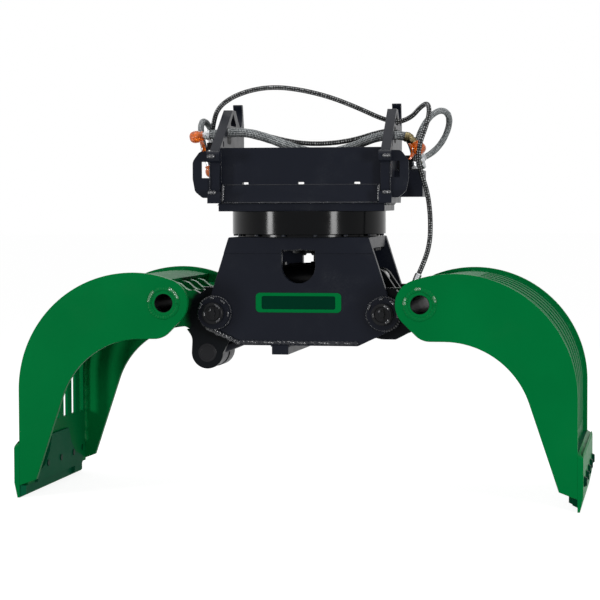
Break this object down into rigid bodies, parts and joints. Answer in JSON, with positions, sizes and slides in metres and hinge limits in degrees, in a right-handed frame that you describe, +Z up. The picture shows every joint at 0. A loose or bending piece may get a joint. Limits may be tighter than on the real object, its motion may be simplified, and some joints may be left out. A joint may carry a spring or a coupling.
{
  "type": "sorting grapple",
  "caption": "Hydraulic sorting grapple with slotted half-shell jaws, a closing cylinder, a synchronising rod, a slewing ring and a coupler adapter with hoses.",
  "frame": {"origin": "on the ground under the slewing axis, midway between the two jaws, which stand open on their blade tips", "axes": "+X across the jaws to the jaw that stands right in the picture, -Y to the front with the badge plate, +Z up along the slewing axis"},
  "size_m": [2.018, 0.72, 1.458],
  "materials": {
    "black_paint": "satin",
    "black_rubber": "matt",
    "bright_steel": "zinc plated",
    "bronze": "machined",
    "chrome_steel": "polished",
    "dark_blue_paint": "satin, near-black blue",
    "dark_steel": "dull",
    "green_paint": "gloss",
    "grey_hose": "speckled braid",
    "grey_sleeve": "woven sleeve",
    "orange_plastic": "glossy"
  },
  "bodies": {
    "adapter": {"adapter_base": "dark_blue_paint", "adapter_ears": "dark_blue_paint", "adapter_guard_plates": "dark_blue_paint", "adapter_walls": "dark_blue_paint", "coupling_bracket": "dark_blue_paint", "hose_caps": "orange_plastic", "hose_couplings": "bright_steel", "hose_cross_sleeved": "grey_sleeve", "hose_cross_thin": "grey_hose", "hose_grommets": "black_rubber", "hose_left_loop_sleeved": "grey_sleeve", "hose_long": "grey_hose", "hose_port_blocks": "black_paint", "hose_right_loop_sleeved": "grey_sleeve", "slew_gear": "bright_steel", "slew_housing": "dark_blue_paint"},
    "frame": {"frame_bosses": "dark_blue_paint", "frame_cross_bars": "dark_blue_paint", "frame_front_plate": "dark_blue_paint", "frame_rear_plate": "dark_blue_paint", "frame_top_plate": "dark_blue_paint", "hinge_pins": "bright_steel", "hose_swivel": "bright_steel", "pin_caps": "black_paint", "ring_bolts": "black_paint", "slew_motor": "black_paint", "turntable": "dark_steel"},
    "slew_pinion": {"slew_pinion": "bright_steel"},
    "left_jaw": {"left_jaw_arm_plates": "green_paint", "left_jaw_blade": "green_paint", "left_jaw_blade_bolts": "dark_steel", "left_jaw_blade_seat": "green_paint", "left_jaw_cross_tube": "green_paint", "left_jaw_hub_bushes": "bronze", "left_jaw_hub_tubes": "green_paint", "left_jaw_inner_edge": "green_paint", "left_jaw_shell_sheet": "green_paint", "left_jaw_side_plates": "green_paint", "left_lever_pin": "bright_steel", "left_sync_boss": "dark_blue_paint", "sync_pin": "bright_steel"},
    "right_jaw": {"right_jaw_arm_plates": "green_paint", "right_jaw_blade": "green_paint", "right_jaw_blade_bolts": "dark_steel", "right_jaw_blade_seat": "green_paint", "right_jaw_cross_tube": "green_paint", "right_jaw_hub_bushes": "bronze", "right_jaw_hub_tubes": "green_paint", "right_jaw_inner_edge": "green_paint", "right_jaw_shell_sheet": "green_paint", "right_jaw_side_plates": "green_paint", "right_lever_pin": "bright_steel", "right_sync_lug": "dark_blue_paint"},
    "cylinder_barrel": {"cylinder_barrel": "black_paint"},
    "cylinder_rod": {"cylinder_rod": "chrome_steel"},
    "sync_rod": {"sync_fork_pins": "bright_steel", "sync_rod": "dark_blue_paint"}
  },
  "joints": [
    {"name": "slew", "type": "hinge", "parent": "adapter", "child": "frame", "pos_m": [0, 0, 0.96], "axis": [0, 0, 1], "continuous": true},
    {"name": "pinion_spin", "type": "hinge", "parent": "frame", "child": "slew_pinion", "pos_m": [0.03028, 0.11301, 0.98], "axis": [0, 0, 1], "continuous": true},
    {"name": "left_jaw_close", "type": "hinge", "parent": "frame", "child": "left_jaw", "pos_m": [-0.3, 0, 0.65], "axis": [0, -1, 0], "range_deg": [0, 64.65]},
    {"name": "right_jaw_close", "type": "hinge", "parent": "frame", "child": "right_jaw", "pos_m": [0.3, 0, 0.65], "axis": [0, 1, 0], "range_deg": [0, 64.65]},
    {"name": "barrel_pivot", "type": "hinge", "parent": "left_jaw", "child": "cylinder_barrel", "pos_m": [-0.24929, 0, 0.75876], "axis": [0, 1, 0], "range_deg": [0, 64.65]},
    {"name": "rod_pivot", "type": "hinge", "parent": "right_jaw", "child": "cylinder_rod", "pos_m": [0.24929, 0, 0.75876], "axis": [0, -1, 0], "range_deg": [0, 64.65]},
    {"name": "sync_rod_pivot", "type": "hinge", "parent": "left_jaw", "child": "sync_rod", "pos_m": [-0.335, 0, 0.507], "axis": [0, 1, 0], "range_deg": [0, 60.55]}
  ],
  "couplings": [
    {"joint": "pinion_spin", "follows": "slew", "ratio": -4},
    {"joint": "right_jaw_close", "follows": "left_jaw_close", "ratio": 1},
    {"joint": "barrel_pivot", "follows": "left_jaw_close", "ratio": 1},
    {"joint": "rod_pivot", "follows": "left_jaw_close", "ratio": 1},
    {"joint": "sync_rod_pivot", "follows": "left_jaw_close", "ratio": 0.93653}
  ]
}
